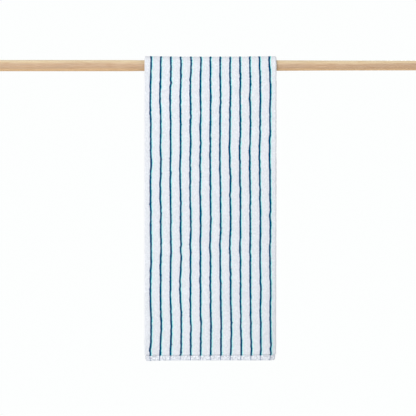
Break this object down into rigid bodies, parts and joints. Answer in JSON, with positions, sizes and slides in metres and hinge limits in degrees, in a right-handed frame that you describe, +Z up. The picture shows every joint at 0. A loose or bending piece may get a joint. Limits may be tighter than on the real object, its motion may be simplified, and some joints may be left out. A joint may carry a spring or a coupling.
{
  "type": "bath towel on a wooden rod",
  "caption": "Striped terry bath towel, folded in half lengthwise and draped over a plain round wooden rod, with its longer fall in front.",
  "frame": {"origin": "on the rod's axis, at the middle of its length", "axes": "+X along the rod, to the right of someone who faces the towel's front; +Y from the front towards the wall; +Z up"},
  "size_m": [1.2, 0.0595, 0.8126],
  "materials": {
    "terry": "white cotton terry with narrow deep blue stripes and flat-woven hems",
    "wood": "bare pale wood, sanded smooth"
  },
  "bodies": {
    "root": {"towel": "terry", "rod": "wood"}
  },
  "joints": []
}
